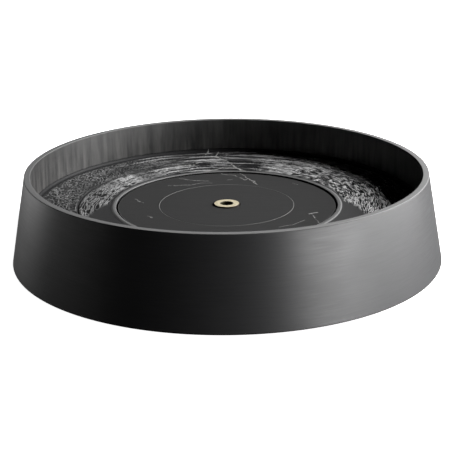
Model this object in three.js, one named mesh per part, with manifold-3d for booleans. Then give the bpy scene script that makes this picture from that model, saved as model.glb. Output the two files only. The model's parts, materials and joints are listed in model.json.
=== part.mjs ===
// A tabletop momentum pottery wheel: a round pan with a tapered wall, and a wheel head that spins in
// the middle of its floor on a fixed spindle. The wall slips over the basin floor from above, closes
// on the seal round the floor's edge, and is screwed down to the base plate. Its shoulder ends just
// above the floor's raised edge. Millimetres, +Z up. The origin is on the spindle's axis, on the
// table that the rubber feet stand on.
import * as THREE from "three";
import { mergeVertices } from "three/addons/utils/BufferGeometryUtils.js";
import Module from "manifold-3d";

const wasm = await Module();
wasm.setup();

// --- Driving dimensions -------------------------------------------------------------------------

const GAP = 0.3; // between pieces that touch

// Pan: a tapered wall, and a basin floor half way up it with a raised lip round the head.
const BASE_RADIUS = 210;
const RIM_RADIUS = 195;
const SKIRT_Z = 2; // the wall's lower edge, held off the table by the feet
const RIM_Z = 88;
const WALL = 6; // at the rim, and below the basin floor
const RIM_BEVEL = 0.8;
const BASIN_RADIUS = RIM_RADIUS - WALL; // the wall's inner face is upright above the floor
const FLOOR_Z = 52;
const FLOOR_THICKNESS = 4;
const COVE_RADIUS = 3;
const COVE_STEPS = 3;
const SEAL_HEIGHT = 1.8;
const SEAL_SEAT_RADIUS = 193.4;
const LEDGE_RADIUS = 196; // inside the wall, low down, for the screws that hold it
const LEDGE_TOP_Z = 22;
const GROOVE_RADIUS = 144.8;
const GROOVE_HALF_WIDTH = 0.9;
const GROOVE_DEPTH = 1;
const WELL_RADIUS = 107.7; // the opening that the head turns in, and the cup below it
const LIP_WIDTH = 5.4;
const LIP_HEIGHT = 0.8;
const FLANGE_RADIUS = 124.5; // thickened ring under the floor that the cup is bolted to
const FLANGE_Z = 44;

// Wheel head and the parts bolted under it.
const HEAD_RADIUS = 106.3;
const HEAD_Z = 51.5;
const HEAD_THICKNESS = 6;
const HEAD_BEVEL = 0.6;
const CENTRING_RADIUS = 65.65;
const CENTRING_DEPTH = 0.45;
const HUB_RADIUS = 42;
const FLYWHEEL_OUTER = 103;
const FLYWHEEL_INNER = 62;
const FLYWHEEL_HEIGHT = 20;

// Spindle and the two brass bushes that run on it.
const SPINDLE_RADIUS = 6;
const SPINDLE_TOP_Z = 44.5;
const SPINDLE_COLLAR_RADIUS = 13.5;
const SPINDLE_COLLAR_HEIGHT = 1.6;
const STUD_RADIUS = 5;
const STUD_FOOT_CLEARANCE = 1.8; // from the stud's lower end to the base plate
const WASHER_RADIUS = 10.5;
const WASHER_HEIGHT = 1.5;
const NUT_CORNER_RADIUS = 9.8;
const NUT_HEIGHT = 6.4;
const BUSH_BORE_RADIUS = 6.1;
const BUSH_OUTER_RADIUS = 9;
const BUSH_FLANGE_RADIUS = 12.7;
const BUSH_FLANGE_HEIGHT = 2.5;
const BUSH_STANDS_PROUD = 1.2;
const BUSH_BEVEL = 0.4;

// Bearing cup and thrust bearing.
const CUP_WALL = 2.5;
const CUP_FLOOR_Z = 15;
const CUP_FLOOR_THICKNESS = 3;
const CUP_HUB_RADIUS = 30;
const CUP_HUB_Z = 26;
const CUP_HUB_THICKNESS = 4;
const GASKET_THICKNESS = 1.5;
const RACE_INNER = 15;
const RACE_OUTER = 23.5;
const RACE_HEIGHT = 3.6;
const RACE_GROOVE_RADIUS = 3.5;
const RACE_GROOVE_STEPS = 4;
const BALL_RADIUS = 3.175;
const BALL_COUNT = 12;
const BALL_GROOVE_DROP = 2.1; // a race's face lies this far from the plane of the ball centres
const CAGE_HEIGHT = 1.6;
const FELT_INNER = 24.3;
const FELT_OUTER = 29.3;

// Base plate, feet and fasteners.
const PLATE_RADIUS = 202;
const PLATE_Z = 8;
const PLATE_THICKNESS = 2.5;
const FOOT_COUNT = 6;
const FOOT_CIRCLE = 185;
const FOOT_RADIUS = 10;
const FOOT_POCKET_RADIUS = 5.2;
const FOOT_POCKET_DEPTH = 4.7;
const FOOT_BEVEL = 0.8;
const BOSS_RADIUS = 7;
const WALL_SCREW_COUNT = 3;
const WALL_SCREW_CIRCLE = 199;
const CUP_SCREW_COUNT = 6;
const CUP_SCREW_CIRCLE = 117;
const HUB_SCREW_COUNT = 4;
const HUB_SCREW_CIRCLE = 36;
const FLYWHEEL_SCREW_COUNT = 4;
const FLYWHEEL_SCREW_CIRCLE = 84;
const HEAD_SKIN = 2.3; // left above the tips of the screws that come up into the head
const CUP_SCREW_TIP_Z = 48.9;
const FOOT_SCREW_LENGTH = 24;
const WALL_SCREW_LENGTH = 10;
const M3 = { shank: 1.5, hole: 1.7, head: 2.75, headHeight: 2, socket: 1.2, socketDepth: 1.1 };
const M4 = { shank: 2, hole: 2.3, head: 3.9, headHeight: 2.4, socket: 1.7, socketDepth: 1.4 };
const M5 = { shank: 2.4, hole: 2.7, head: 4.3, headHeight: 2.6, socket: 2.1, socketDepth: 1.6 };

// Facets round each kind of turned piece.
const LARGE = 60;
const MEDIUM = 48;
const SMALL = 36;
const TINY = 24;
const FOOT_FACETS = 16;
const SCREW_FACETS = 10;
const HOLE_SIDES = 8;

// --- Heights that follow from them --------------------------------------------------------------

const wallSlope = (BASE_RADIUS - RIM_RADIUS) / (RIM_Z - SKIRT_Z);
const outerWallAt = (z) => RIM_RADIUS + (RIM_Z - z) * wallSlope;
const innerWallAt = (z) => outerWallAt(z) - WALL;
const floorEdgeAt = (z) => innerWallAt(z) - GAP;
const floorUnderZ = FLOOR_Z - FLOOR_THICKNESS;
const floorEdgeZ = FLOOR_Z + COVE_RADIUS;
const shoulderZ = floorEdgeZ + GAP;
const sealZ = floorUnderZ + 1.1;
const gasketZ = FLANGE_Z - GAP - GASKET_THICKNESS;
const cupTopZ = gasketZ - GAP;
const headUnderZ = HEAD_Z - HEAD_THICKNESS;
const hubTopZ = headUnderZ - GAP;
const lowerRaceZ = CUP_HUB_Z + GAP;
const ballZ = lowerRaceZ + RACE_HEIGHT + BALL_GROOVE_DROP;
const upperRaceZ = ballZ + BALL_GROOVE_DROP;
const hubUnderZ = upperRaceZ + RACE_HEIGHT + GAP;
const hubSleeveZ = lowerRaceZ + SPINDLE_COLLAR_HEIGHT + 2 * GAP;
const hubSleeveRadius = RACE_INNER - 0.5;
const hubBoreRadius = BUSH_OUTER_RADIUS + GAP;
const bushTopZ = HEAD_Z + BUSH_STANDS_PROUD;
const bushFlangeUnderZ = bushTopZ - BUSH_FLANGE_HEIGHT;
const bushFootZ = hubUnderZ + 0.5;
const ballCircle = (RACE_INNER + RACE_OUTER) / 2;
const cupHubUnderZ = CUP_HUB_Z - CUP_HUB_THICKNESS;
const plateTopZ = PLATE_Z + PLATE_THICKNESS;
const flywheelZ = hubTopZ - FLYWHEEL_HEIGHT;
const screwTipZ = HEAD_Z - HEAD_SKIN;
const washerZ = cupHubUnderZ - GAP - WASHER_HEIGHT;
const nutZ = washerZ - GAP - NUT_HEIGHT;
const cupScrewZ = cupTopZ - CUP_WALL - GAP;
const footScrewZ = FOOT_POCKET_DEPTH - GAP;
const wallScrewZ = PLATE_Z - GAP;
const hubScrewZ = hubUnderZ - GAP;
const flywheelScrewZ = flywheelZ - GAP;

// --- Materials ----------------------------------------------------------------------------------

const finish = (color, roughness, metalness) =>
  new THREE.MeshStandardMaterial({ color, roughness, metalness });
const coatedCasting = finish(0x2b2b2c, 0.55, 0.2);
const headCoating = finish(0x3d3d3d, 0.7, 0.1);
const brass = finish(0xc9b37a, 0.35, 1);
const bearingSteel = finish(0xb4b6b8, 0.25, 1);
const zincSteel = finish(0x9a9c9e, 0.4, 1);
const castIron = finish(0x3a3a3c, 0.6, 0.8);
const cageBrass = finish(0xa89058, 0.45, 1);
const blackRubber = finish(0x161616, 0.85, 0);
const greyFelt = finish(0x5d5a56, 1, 0);

// --- Making shapes ------------------------------------------------------------------------------

// Turns an outline of [radius, height] points about the Z axis. The outline closes on itself, or
// starts and ends on the axis.
function turned(outline, facets) {
  const points = outline.map(([radius, z]) => new THREE.Vector2(radius, z));
  if (THREE.ShapeUtils.area(points) < 0) points.reverse();
  if (points[0].x > 0) points.push(points[0].clone());
  return new THREE.LatheGeometry(points, facets).rotateX(Math.PI / 2);
}

// A plain ring, standing on height z.
function ring(inner, outer, z, height, facets) {
  return turned([[inner, z], [outer, z], [outer, z + height], [inner, z + height]], facets);
}

// An upright rod at x = distance, standing on height z.
function rod(radius, z, height, distance = 0, sides = 12) {
  const shape = new THREE.CylinderGeometry(radius, radius, height, sides);
  return shape.rotateX(Math.PI / 2).translate(distance, 0, z + height / 2);
}

// A drill for a hole that starts at a face at height z. It starts below the face, so that it cuts
// clear through it.
function drill(radius, z, depth, distance) {
  const lead = 1;
  return rod(radius, z - lead, depth + lead, distance, HOLE_SIDES);
}

function solidOf(geometry) {
  const bare = geometry.clone();
  bare.deleteAttribute("normal");
  bare.deleteAttribute("uv");
  const merged = mergeVertices(bare, 1e-4);
  return new wasm.Manifold(
    new wasm.Mesh({
      numProp: 3,
      vertProperties: merged.attributes.position.array,
      triVerts: new Uint32Array(merged.index.array),
    }),
  );
}

function geometryOf(solid) {
  const mesh = solid.getMesh();
  return new THREE.BufferGeometry()
    .setAttribute("position", new THREE.BufferAttribute(mesh.vertProperties, 3))
    .setIndex(new THREE.BufferAttribute(mesh.triVerts, 1));
}

function joined(base, ...additions) {
  return geometryOf(additions.reduce((solid, more) => solid.add(solidOf(more)), solidOf(base)));
}

function cut(base, ...tools) {
  return geometryOf(tools.reduce((solid, tool) => solid.subtract(solidOf(tool)), solidOf(base)));
}

// Copies of a shape, turned about the Z axis in equal steps.
function around(count, shape, startAngle = 0) {
  return Array.from({ length: count }, (_, i) =>
    shape.clone().rotateZ(startAngle + (i * 2 * Math.PI) / count),
  );
}

// Half of a round channel's section, below a centre, from one edge of a face to the other.
function arc(centreRadius, centreZ, radius, fromAngle, toAngle, steps) {
  return Array.from({ length: steps + 1 }, (_, i) => {
    const angle = fromAngle + ((toAngle - fromAngle) * i) / steps;
    return [centreRadius + radius * Math.cos(angle), centreZ + radius * Math.sin(angle)];
  });
}

// --- Adding pieces ------------------------------------------------------------------------------

const wheel = new THREE.Group();
const casing = new THREE.Group();
const ballCage = new THREE.Group();
const rotor = new THREE.Group();
wheel.add(casing, ballCage, rotor);

function add(group, name, geometry, material, x = 0, y = 0, z = 0) {
  const mesh = new THREE.Mesh(geometry, material);
  mesh.name = name;
  mesh.position.set(x, y, z);
  group.add(mesh);
}

// Numbered copies of one piece on a circle round the spindle.
function addCircle(group, name, geometry, material, { count, circle, z, startAngle = 0 }) {
  for (let i = 0; i < count; i++) {
    const angle = startAngle + (i * 2 * Math.PI) / count;
    const x = circle * Math.cos(angle);
    const y = circle * Math.sin(angle);
    add(group, `${name}_${i + 1}`, geometry, material, x, y, z);
  }
}

// --- Sub-parts ----------------------------------------------------------------------------------

const betweenFeet = Math.PI / FOOT_COUNT; // wall and cup screws sit between the feet

function panWall() {
  const ledgeZ = plateTopZ + GAP;
  const outline = [
    [outerWallAt(SKIRT_Z), SKIRT_Z],
    [outerWallAt(RIM_Z - RIM_BEVEL), RIM_Z - RIM_BEVEL],
    [RIM_RADIUS - RIM_BEVEL, RIM_Z],
    [BASIN_RADIUS + RIM_BEVEL, RIM_Z],
    [BASIN_RADIUS, RIM_Z - RIM_BEVEL],
    [BASIN_RADIUS, shoulderZ],
    [innerWallAt(shoulderZ), shoulderZ],
    [innerWallAt(LEDGE_TOP_Z), LEDGE_TOP_Z],
    [LEDGE_RADIUS, LEDGE_TOP_Z],
    [LEDGE_RADIUS, ledgeZ],
    [innerWallAt(ledgeZ), ledgeZ],
    [innerWallAt(SKIRT_Z), SKIRT_Z],
  ];
  const depth = wallScrewZ + WALL_SCREW_LENGTH + GAP - ledgeZ;
  const hole = drill(M3.hole, ledgeZ, depth, WALL_SCREW_CIRCLE);
  return cut(turned(outline, LARGE), ...around(WALL_SCREW_COUNT, hole, betweenFeet));
}

function floorOutline() {
  const coveRadius = BASIN_RADIUS - COVE_RADIUS;
  const cove = arc(coveRadius, floorEdgeZ, COVE_RADIUS, 0, -Math.PI / 2, COVE_STEPS);
  const lipOuter = WELL_RADIUS + LIP_WIDTH;
  const seatZ = sealZ - GAP;
  const seatTopZ = sealZ + SEAL_HEIGHT + GAP;
  return [
    [WELL_RADIUS, FLANGE_Z],
    [FLANGE_RADIUS, FLANGE_Z],
    [FLANGE_RADIUS, floorUnderZ],
    [floorEdgeAt(floorUnderZ), floorUnderZ],
    [floorEdgeAt(seatZ), seatZ],
    [SEAL_SEAT_RADIUS, seatZ],
    [SEAL_SEAT_RADIUS, seatTopZ],
    [floorEdgeAt(seatTopZ), seatTopZ],
    [floorEdgeAt(floorEdgeZ), floorEdgeZ],
    ...cove,
    [GROOVE_RADIUS + GROOVE_HALF_WIDTH, FLOOR_Z],
    [GROOVE_RADIUS, FLOOR_Z - GROOVE_DEPTH],
    [GROOVE_RADIUS - GROOVE_HALF_WIDTH, FLOOR_Z],
    [lipOuter, FLOOR_Z],
    [lipOuter - LIP_HEIGHT, FLOOR_Z + LIP_HEIGHT],
    [WELL_RADIUS + LIP_HEIGHT, FLOOR_Z + LIP_HEIGHT],
    [WELL_RADIUS, FLOOR_Z],
  ];
}

// Six bosses for the foot screws stand under the floor, down to the base plate.
function basinFloor() {
  const bossFootZ = plateTopZ + GAP;
  const boss = rod(BOSS_RADIUS, bossFootZ, floorUnderZ + 1 - bossFootZ, FOOT_CIRCLE);
  const footDepth = footScrewZ + FOOT_SCREW_LENGTH + GAP - bossFootZ;
  const footHole = drill(M4.hole, bossFootZ, footDepth, FOOT_CIRCLE);
  const cupHole = drill(M4.hole, FLANGE_Z, CUP_SCREW_TIP_Z + GAP - FLANGE_Z, CUP_SCREW_CIRCLE);
  const body = joined(turned(floorOutline(), LARGE), ...around(FOOT_COUNT, boss));
  const holes = [
    ...around(FOOT_COUNT, footHole),
    ...around(CUP_SCREW_COUNT, cupHole, betweenFeet),
  ];
  return cut(body, ...holes);
}

function floorSeal() {
  const outer = floorEdgeAt(sealZ + SEAL_HEIGHT);
  return ring(SEAL_SEAT_RADIUS + GAP, outer, sealZ, SEAL_HEIGHT, LARGE);
}

// The cup closes the well under the head. Its raised hub carries the spindle, and leaves room for
// the nut below.
function bearingCup() {
  const outer = WELL_RADIUS + CUP_WALL;
  const flangeUnderZ = cupTopZ - CUP_WALL;
  const nutRoomRadius = CUP_HUB_RADIUS - CUP_FLOOR_THICKNESS;
  const outline = [
    [STUD_RADIUS + GAP, cupHubUnderZ],
    [nutRoomRadius, cupHubUnderZ],
    [nutRoomRadius, CUP_FLOOR_Z - CUP_FLOOR_THICKNESS],
    [outer, CUP_FLOOR_Z - CUP_FLOOR_THICKNESS],
    [outer, flangeUnderZ],
    [FLANGE_RADIUS, flangeUnderZ],
    [FLANGE_RADIUS, cupTopZ],
    [WELL_RADIUS, cupTopZ],
    [WELL_RADIUS, CUP_FLOOR_Z],
    [CUP_HUB_RADIUS, CUP_FLOOR_Z],
    [CUP_HUB_RADIUS, CUP_HUB_Z],
    [STUD_RADIUS + GAP, CUP_HUB_Z],
  ];
  const hole = drill(M4.hole, flangeUnderZ, CUP_WALL + 1, CUP_SCREW_CIRCLE);
  return cut(turned(outline, MEDIUM), ...around(CUP_SCREW_COUNT, hole, betweenFeet));
}

function cupGasket() {
  const body = ring(WELL_RADIUS + 1, FLANGE_RADIUS - 1, gasketZ, GASKET_THICKNESS, MEDIUM);
  const hole = drill(M4.hole, gasketZ, GASKET_THICKNESS + 1, CUP_SCREW_CIRCLE);
  return cut(body, ...around(CUP_SCREW_COUNT, hole, betweenFeet));
}

function basePlate() {
  const plate = rod(PLATE_RADIUS, PLATE_Z, PLATE_THICKNESS, 0, MEDIUM);
  const footHole = drill(M4.hole, PLATE_Z, PLATE_THICKNESS + 1, FOOT_CIRCLE);
  const wallHole = drill(M3.hole, PLATE_Z, PLATE_THICKNESS + 1, WALL_SCREW_CIRCLE);
  const holes = [
    ...around(FOOT_COUNT, footHole),
    ...around(WALL_SCREW_COUNT, wallHole, betweenFeet),
  ];
  return cut(plate, ...holes);
}

// A round rubber foot with a pocket that the screw's head sits in.
function foot() {
  const height = PLATE_Z - GAP;
  return turned(
    [
      [M4.hole, FOOT_POCKET_DEPTH],
      [FOOT_POCKET_RADIUS, FOOT_POCKET_DEPTH],
      [FOOT_POCKET_RADIUS, 0],
      [FOOT_RADIUS - FOOT_BEVEL, 0],
      [FOOT_RADIUS, FOOT_BEVEL],
      [FOOT_RADIUS, height],
      [M4.hole, height],
    ],
    FOOT_FACETS,
  );
}

// A cap screw with a hexagon socket, pointing up, with its head's underside at height 0.
function capScrew(size, length) {
  const body = turned(
    [
      [0, -size.headHeight],
      [size.head, -size.headHeight],
      [size.head, 0],
      [size.shank, 0],
      [size.shank, length],
      [0, length],
    ],
    SCREW_FACETS,
  );
  return cut(body, rod(size.socket, -size.headHeight - 1, size.socketDepth + 1, 0, 6));
}

// The shoulder rests on the cup's hub, and the stud below it takes the washer and nut.
function spindle() {
  const studFootZ = plateTopZ + STUD_FOOT_CLEARANCE;
  const collarTopZ = lowerRaceZ + SPINDLE_COLLAR_HEIGHT;
  return turned(
    [
      [0, studFootZ],
      [STUD_RADIUS, studFootZ],
      [STUD_RADIUS, lowerRaceZ],
      [SPINDLE_COLLAR_RADIUS, lowerRaceZ],
      [SPINDLE_COLLAR_RADIUS, collarTopZ],
      [SPINDLE_RADIUS, collarTopZ],
      [SPINDLE_RADIUS, SPINDLE_TOP_Z - 1],
      [SPINDLE_RADIUS - 1, SPINDLE_TOP_Z],
      [0, SPINDLE_TOP_Z],
    ],
    TINY,
  );
}

function spindleNut() {
  const bore = rod(STUD_RADIUS + GAP, nutZ - 1, NUT_HEIGHT + 2, 0, TINY);
  return cut(rod(NUT_CORNER_RADIUS, nutZ, NUT_HEIGHT, 0, 6), bore);
}

// One race, with its ball groove facing up. Height 0 is the plane of the ball centres.
function race() {
  const faceZ = -BALL_GROOVE_DROP;
  const edgeAngle = Math.asin(BALL_GROOVE_DROP / RACE_GROOVE_RADIUS);
  const endAngle = edgeAngle - Math.PI;
  const groove = arc(ballCircle, 0, RACE_GROOVE_RADIUS, -edgeAngle, endAngle, RACE_GROOVE_STEPS);
  return turned(
    [
      [RACE_INNER, faceZ - RACE_HEIGHT],
      [RACE_OUTER, faceZ - RACE_HEIGHT],
      [RACE_OUTER, faceZ],
      ...groove,
      [RACE_INNER, faceZ],
    ],
    TINY,
  );
}

function cageRing() {
  const body = ring(RACE_INNER + 0.2, RACE_OUTER - 0.2, ballZ - CAGE_HEIGHT / 2, CAGE_HEIGHT, TINY);
  const pocket = rod(BALL_RADIUS + GAP, ballZ - CAGE_HEIGHT, 2 * CAGE_HEIGHT, ballCircle);
  return cut(body, ...around(BALL_COUNT, pocket));
}

function wheelHead() {
  const counterboreRadius = BUSH_FLANGE_RADIUS + 0.5;
  const counterboreZ = bushFlangeUnderZ - GAP;
  const outline = [
    [hubBoreRadius, headUnderZ],
    [HEAD_RADIUS - HEAD_BEVEL, headUnderZ],
    [HEAD_RADIUS, headUnderZ + HEAD_BEVEL],
    [HEAD_RADIUS, HEAD_Z - HEAD_BEVEL],
    [HEAD_RADIUS - HEAD_BEVEL, HEAD_Z],
    [CENTRING_RADIUS + CENTRING_DEPTH, HEAD_Z],
    [CENTRING_RADIUS, HEAD_Z - CENTRING_DEPTH],
    [CENTRING_RADIUS - CENTRING_DEPTH, HEAD_Z],
    [counterboreRadius, HEAD_Z],
    [counterboreRadius, counterboreZ],
    [hubBoreRadius, counterboreZ],
  ];
  const depth = screwTipZ + GAP - headUnderZ;
  const hubHole = drill(M5.hole, headUnderZ, depth, HUB_SCREW_CIRCLE);
  const flywheelHole = drill(M5.hole, headUnderZ, depth, FLYWHEEL_SCREW_CIRCLE);
  return cut(
    turned(outline, LARGE),
    ...around(HUB_SCREW_COUNT, hubHole),
    ...around(FLYWHEEL_SCREW_COUNT, flywheelHole),
  );
}

// The flanged bush stands proud in the middle of the head, open at the top.
function centreBush() {
  return turned(
    [
      [BUSH_BORE_RADIUS, bushFootZ],
      [BUSH_OUTER_RADIUS, bushFootZ],
      [BUSH_OUTER_RADIUS, bushFlangeUnderZ],
      [BUSH_FLANGE_RADIUS, bushFlangeUnderZ],
      [BUSH_FLANGE_RADIUS, bushTopZ - BUSH_BEVEL],
      [BUSH_FLANGE_RADIUS - BUSH_BEVEL, bushTopZ],
      [BUSH_BORE_RADIUS + BUSH_BEVEL, bushTopZ],
      [BUSH_BORE_RADIUS, bushTopZ - BUSH_BEVEL],
    ],
    SMALL,
  );
}

function lowerBush() {
  const height = bushFootZ - GAP - hubSleeveZ;
  return ring(BUSH_BORE_RADIUS, BUSH_OUTER_RADIUS, hubSleeveZ, height, SMALL);
}

function rotorHub() {
  const outline = [
    [hubBoreRadius, hubSleeveZ],
    [hubSleeveRadius, hubSleeveZ],
    [hubSleeveRadius, hubUnderZ],
    [HUB_RADIUS, hubUnderZ],
    [HUB_RADIUS, hubTopZ],
    [hubBoreRadius, hubTopZ],
  ];
  const hole = drill(M5.hole, hubUnderZ, hubTopZ - hubUnderZ + 1, HUB_SCREW_CIRCLE);
  return cut(turned(outline, SMALL), ...around(HUB_SCREW_COUNT, hole));
}

function flywheel() {
  const body = ring(FLYWHEEL_INNER, FLYWHEEL_OUTER, flywheelZ, FLYWHEEL_HEIGHT, MEDIUM);
  const hole = drill(M5.hole, flywheelZ, FLYWHEEL_HEIGHT + 1, FLYWHEEL_SCREW_CIRCLE);
  return cut(body, ...around(FLYWHEEL_SCREW_COUNT, hole));
}

// --- The assembly -------------------------------------------------------------------------------

// Fixed: the pan, the cup that carries the spindle, and what closes and supports them.
add(casing, "pan_wall", panWall(), coatedCasting);
add(casing, "basin_floor", basinFloor(), coatedCasting);
add(casing, "floor_seal", floorSeal(), blackRubber);
add(casing, "bearing_cup", bearingCup(), zincSteel);
add(casing, "cup_gasket", cupGasket(), blackRubber);
addCircle(casing, "cup_screw", capScrew(M4, CUP_SCREW_TIP_Z - cupScrewZ), zincSteel, {
  count: CUP_SCREW_COUNT,
  circle: CUP_SCREW_CIRCLE,
  z: cupScrewZ,
  startAngle: betweenFeet,
});
add(casing, "base_plate", basePlate(), coatedCasting);
addCircle(casing, "wall_screw", capScrew(M3, WALL_SCREW_LENGTH), zincSteel, {
  count: WALL_SCREW_COUNT,
  circle: WALL_SCREW_CIRCLE,
  z: wallScrewZ,
  startAngle: betweenFeet,
});
addCircle(casing, "foot", foot(), blackRubber, { count: FOOT_COUNT, circle: FOOT_CIRCLE, z: 0 });
addCircle(casing, "foot_screw", capScrew(M4, FOOT_SCREW_LENGTH), zincSteel, {
  count: FOOT_COUNT,
  circle: FOOT_CIRCLE,
  z: footScrewZ,
});
add(casing, "spindle", spindle(), bearingSteel);
const washer = ring(STUD_RADIUS + GAP, WASHER_RADIUS, washerZ, WASHER_HEIGHT, TINY);
add(casing, "spindle_washer", washer, zincSteel);
add(casing, "spindle_nut", spindleNut(), zincSteel);
add(casing, "lower_race", race(), bearingSteel, 0, 0, ballZ);
const feltHeight = hubUnderZ - GAP - lowerRaceZ;
add(casing, "felt_seal", ring(FELT_INNER, FELT_OUTER, lowerRaceZ, feltHeight, TINY), greyFelt);

// The balls and their cage roll round at half the head's speed.
add(ballCage, "ball_cage_ring", cageRing(), cageBrass);
addCircle(ballCage, "ball", new THREE.SphereGeometry(BALL_RADIUS, 8, 6), bearingSteel, {
  count: BALL_COUNT,
  circle: ballCircle,
  z: ballZ,
});

// Turning: the head, with its hub, bushes, flywheel and upper race.
add(rotor, "upper_race", race().rotateX(Math.PI), bearingSteel, 0, 0, ballZ);
add(rotor, "rotor_hub", rotorHub(), coatedCasting);
add(rotor, "lower_bush", lowerBush(), brass);
add(rotor, "centre_bush", centreBush(), brass);
add(rotor, "wheel_head", wheelHead(), headCoating);
add(rotor, "flywheel", flywheel(), castIron);
addCircle(rotor, "hub_screw", capScrew(M5, screwTipZ - hubScrewZ), zincSteel, {
  count: HUB_SCREW_COUNT,
  circle: HUB_SCREW_CIRCLE,
  z: hubScrewZ,
});
addCircle(rotor, "flywheel_screw", capScrew(M5, screwTipZ - flywheelScrewZ), zincSteel, {
  count: FLYWHEEL_SCREW_COUNT,
  circle: FLYWHEEL_SCREW_CIRCLE,
  z: flywheelScrewZ,
});

export default wheel;
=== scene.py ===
"""Looks of a tabletop pottery wheel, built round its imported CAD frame. Metres, +Z up."""
import json
import math

import bpy
import numpy as np
from mathutils import Matrix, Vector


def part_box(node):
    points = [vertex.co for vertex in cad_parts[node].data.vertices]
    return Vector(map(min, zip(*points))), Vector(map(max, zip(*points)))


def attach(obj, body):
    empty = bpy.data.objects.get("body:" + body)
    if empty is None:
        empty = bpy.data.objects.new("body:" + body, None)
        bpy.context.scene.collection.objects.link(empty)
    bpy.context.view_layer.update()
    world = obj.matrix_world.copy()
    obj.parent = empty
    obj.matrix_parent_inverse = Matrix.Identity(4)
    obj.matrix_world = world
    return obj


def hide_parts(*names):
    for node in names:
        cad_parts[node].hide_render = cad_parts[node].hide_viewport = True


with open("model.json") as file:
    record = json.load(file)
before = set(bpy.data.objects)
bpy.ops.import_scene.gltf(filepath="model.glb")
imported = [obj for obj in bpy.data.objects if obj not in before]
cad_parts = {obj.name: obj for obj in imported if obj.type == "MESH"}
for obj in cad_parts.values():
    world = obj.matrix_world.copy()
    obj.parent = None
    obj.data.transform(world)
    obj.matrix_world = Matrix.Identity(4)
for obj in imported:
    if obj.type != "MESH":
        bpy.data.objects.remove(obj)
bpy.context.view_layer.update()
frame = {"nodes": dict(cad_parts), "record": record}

MM = 0.001

# --- Sizes taken from the frame ------------------------------------------------------------------

wall_low, wall_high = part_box("pan_wall")
head_low, head_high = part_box("wheel_head")
bush_low, bush_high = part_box("centre_bush")
foot_low, foot_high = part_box("foot_1")

BASE_RADIUS = wall_high.x
SKIRT_Z = wall_low.z
RIM_Z = wall_high.z
HEAD_RADIUS = head_high.x
HEAD_Z = head_high.z
HEAD_UNDER_Z = head_low.z
BUSH_TOP_Z = bush_high.z
BUSH_FLANGE_RADIUS = bush_high.x
FOOT_RADIUS = (foot_high.x - foot_low.x) / 2
FOOT_CIRCLE = (foot_high.x + foot_low.x) / 2
FOOT_TOP_Z = foot_high.z

# --- Sizes that no box gives, as the CAD source has them ------------------------------------------

RIM_RADIUS = 195 * MM
WALL = 6 * MM
LEDGE_RADIUS = 196 * MM
LEDGE_LOW_Z = 10.8 * MM
LEDGE_HIGH_Z = 22 * MM
FLOOR_Z = 52 * MM
FLOOR_THICKNESS = 4 * MM
FLANGE_RADIUS = 124.5 * MM
FLANGE_Z = 44 * MM
GROOVE_RADIUS = 144.8 * MM
GROOVE_HALF_WIDTH = 0.9 * MM
GROOVE_DEPTH = 1 * MM
WELL_RADIUS = 107.7 * MM
LIP_WIDTH = 5.4 * MM
LIP_HEIGHT = 0.8 * MM
COVE_RADIUS = 3 * MM
GAP = 0.3 * MM
CENTRING_RADIUS = 65.65 * MM
CENTRING_DEPTH = 0.45 * MM
CENTRING_HALF_WIDTH = 0.45 * MM
COATED_GROOVE_SHARE = 0.5  # the coating half fills the centring groove
BUSH_BORE_RADIUS = 6.1 * MM
BUSH_BARREL_RADIUS = 9 * MM
BUSH_FLANGE_HEIGHT = 2.5 * MM
FOOT_COUNT = 6
FOOT_POCKET_RADIUS = 5.2 * MM
FOOT_POCKET_DEPTH = 4.7 * MM
FOOT_HOLE_RADIUS = 2.3 * MM

BASIN_RADIUS = RIM_RADIUS - WALL
LIP_RADIUS = WELL_RADIUS + LIP_WIDTH
FLOOR_EDGE_Z = FLOOR_Z + COVE_RADIUS
SHOULDER_Z = FLOOR_EDGE_Z + GAP
WALL_SLOPE = (BASE_RADIUS - RIM_RADIUS) / (RIM_Z - SKIRT_Z)


def outer_wall_at(z):
    return RIM_RADIUS + (RIM_Z - z) * WALL_SLOPE


def inner_wall_at(z):
    return outer_wall_at(z) - WALL


# Scratches left by trimming tools, as lines of (x, y) points in mm and the width of the mark in mm.
BASIN_SCRATCHES = [
    ([(-12, 169), (2, 147), (11, 124), (18, 111)], 1.7),
    ([(-12, 169), (-8, 187)], 1.3),
    ([(-22, 178), (-19, 188)], 1.0),
    ([(-32, 167), (-22, 173), (-12, 169)], 1.2),
    ([(-86, 115), (-65, 112), (-45, 113), (-29, 115)], 1.3),
    ([(-25, 109), (-13, 117), (-5, 125), (11, 122), (19, 113)], 2.0),
    ([(-32, 143), (-24, 148), (-9, 147), (1, 142), (34, 141)], 1.2),
    ([(-87, 145), (-77, 152), (-55, 154)], 1.4),
    ([(-52, 135), (-30, 138)], 1.6),
    ([(55, 153), (62, 140), (76, 127)], 1.0),
]
HEAD_SCRATCHES = [
    ([(14, 106), (19, 93), (23, 87), (32, 65)], 0.9),
    ([(-5, 105), (8, 98), (19, 81), (23, 87)], 0.9),
    ([(-49, 89), (-39, 83), (-19, 79)], 0.8),
    ([(-60, 64), (-39, 65), (-26, 72), (-16, 70)], 0.8),
    ([(1, 82), (11, 86)], 0.6),
    ([(-90, 20), (-87, 14), (-82, 7)], 0.9),
    ([(-76, -34), (-72, -40)], 0.8),
    ([(68, 69), (72, 62)], 0.7),
    ([(78, -33), (87, -28)], 1.6),
    ([(80, -33), (84, -43), (87, -60)], 0.6),
    ([(49, -70), (62, -64), (74, -50)], 0.7),
]
SCRATCH_CORE = 0.2  # of the width: fully marked out to here
SCRATCH_HALO = 0.8  # of the width: faded out at here
SCRATCH_WANDER = 1.2 * MM


# --- Node trees -----------------------------------------------------------------------------------


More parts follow.
